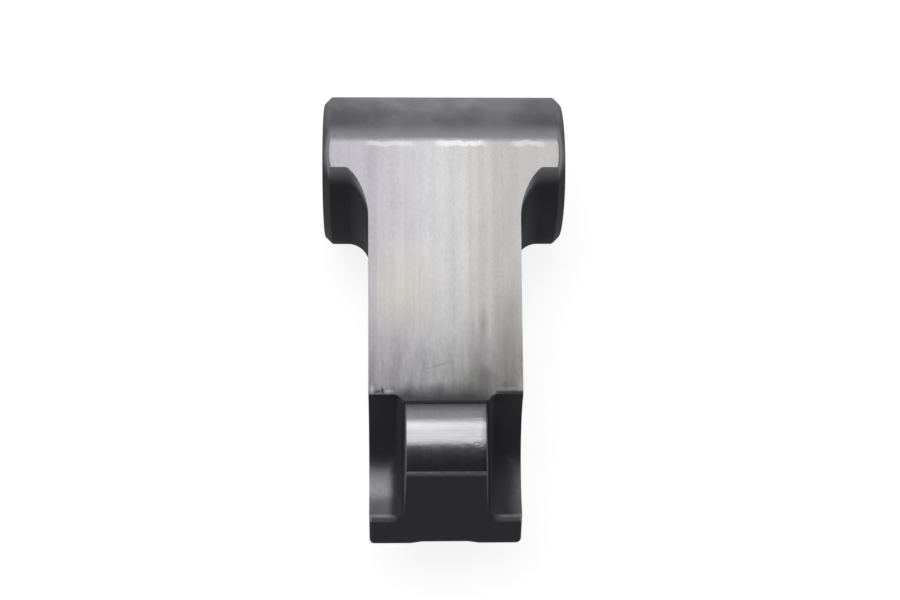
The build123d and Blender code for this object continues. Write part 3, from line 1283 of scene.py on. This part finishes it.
def make_softbox(stage):
    """Softbox beyond the hub and to the left.

    It is turned a little, so that its reflection leaves the arm's right side first.
    """
    near, far = SOFTBOX_EDGES
    middle = (near + far) / 2
    lamp = bpy.data.lights.new("softbox", "AREA")
    lamp.shape = "RECTANGLE"
    lamp.size, lamp.size_y = SOFTBOX_WIDTH, SOFTBOX_DISTANCE * (far - near)
    lamp.energy = stage.key * pi * lamp.size * lamp.size_y
    box = bpy.data.objects.new("softbox", lamp)
    back = Vector((-sin(middle), 0, cos(middle)))
    side = Vector((0, 1, 0))
    side.rotate(Quaternion(back, stage.softbox_turn))
    place = Vector((AIM[0] * MM, 0, 0)) + back * SOFTBOX_DISTANCE - side * SOFTBOX_ASIDE
    turned = Matrix((side, back.cross(side), back)).transposed().to_4x4()
    box.matrix_world = Matrix.Translation(place) @ turned
    bpy.context.scene.collection.objects.link(box)


def make_camera(stage):
    """Camera over the flat, leaning towards the toe, with the hub at the top."""
    lens = bpy.data.cameras.new("camera")
    lens.lens, lens.sensor_width = stage.lens, SENSOR_WIDTH
    camera = bpy.data.objects.new("camera", lens)
    aim = Vector((*AIM, flat_height)) * MM
    back = Vector((sin(stage.tilt), -sin(stage.lean), cos(stage.tilt))).normalized()
    right = Vector((0, 1, 0)) - back * back.y
    right.normalize()
    right.rotate(Quaternion(back, stage.roll))
    turned = Matrix((right, back.cross(right), back)).transposed().to_4x4()
    camera.matrix_world = Matrix.Translation(aim + back * stage.distance) @ turned
    lens.clip_start, lens.clip_end = 0.01, 20.0
    bpy.context.scene.collection.objects.link(camera)
    bpy.context.scene.camera = camera


# --- Operators --------------------------------------------------------------------------------


class ROCKER_OT_arm(bpy.types.Operator):
    """Dress the forged arm: ground flat, polished pad, forged skin and turned hub ends"""

    bl_idname = "rocker.arm"
    bl_label = "Dress Arm"

    def execute(self, context):
        finish = context.scene.rocker_finish
        makers = {
            "skin": forged_skin,
            "ground": ground_steel,
            "polished": polished_pad,
            "turned": turned_steel,
            "worn": worn_edges,
        }
        surfaces = arm_surfaces()
        bm, kind = welded(ARM)
        wear_edges(bm, kind, on_hub_rim, HUB_WEAR, UNKNOWN)
        wear_edges(bm, kind, on_flat_side, EDGE_WEAR, len(surfaces))
        wear_lip(bm, kind)
        mark_surfaces(bm, kind, surfaces, list(makers))
        map_across(bm)
        normals = true_normals(bm, kind, surfaces)
        materials = [make(finish) for make in makers.values()]
        piece = mesh_object("forged_arm", bm, normals, materials)
        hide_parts(ARM)
        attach(piece, "root")
        return {"FINISHED"}


class ROCKER_OT_bushing(bpy.types.Operator):
    """Dress the bronze bushing in the hub"""

    bl_idname = "rocker.bushing"
    bl_label = "Dress Bushing"

    def execute(self, context):
        bronze = bored_bronze(context.scene.rocker_finish)
        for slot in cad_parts[BUSHING].material_slots:
            slot.material = bronze
        return {"FINISHED"}


class ROCKER_OT_stage(bpy.types.Operator):
    """Set the floor, the lamps and the camera"""

    bl_idname = "rocker.stage"
    bl_label = "Set Stage"

    def execute(self, context):
        stage = context.scene.rocker_stage
        context.scene.view_settings.view_transform = "Standard"
        make_floor()
        make_world(context.scene)
        make_softbox(stage)
        make_camera(stage)
        return {"FINISHED"}


# --- Panel and registration -------------------------------------------------------------------


class ROCKER_PT_panel(bpy.types.Panel):
    """Rocker arm tools and settings"""

    bl_idname = "ROCKER_PT_panel"
    bl_label = "Rocker Arm"
    bl_space_type = "VIEW_3D"
    bl_region_type = "UI"
    bl_category = "Rocker Arm"

    def draw(self, context):
        """Lists the tools, then the settings of the finishes and the stage."""
        for operator in OPERATORS:
            self.layout.operator(operator.bl_idname)
        for settings in (context.scene.rocker_finish, context.scene.rocker_stage):
            box = self.layout.box()
            for name in settings.__annotations__:
                box.prop(settings, name)


SETTINGS = {"rocker_finish": ROCKER_PG_finish, "rocker_stage": ROCKER_PG_stage}
OPERATORS = (ROCKER_OT_arm, ROCKER_OT_bushing, ROCKER_OT_stage)


def register():
    """Registers the classes and adds the settings to scenes."""
    for cls in (*SETTINGS.values(), *OPERATORS, ROCKER_PT_panel):
        bpy.utils.register_class(cls)
    for name, cls in SETTINGS.items():
        setattr(bpy.types.Scene, name, bpy.props.PointerProperty(type=cls))


def unregister():
    """Takes the settings and the classes away again."""
    for name in SETTINGS:
        delattr(bpy.types.Scene, name)
    for cls in (ROCKER_PT_panel, *reversed(OPERATORS), *reversed(list(SETTINGS.values()))):
        bpy.utils.unregister_class(cls)


def main():
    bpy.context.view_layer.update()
    register()
    bpy.ops.rocker.arm()
    bpy.ops.rocker.bushing()
    bpy.ops.rocker.stage()


if __name__ == "__main__":
    main()
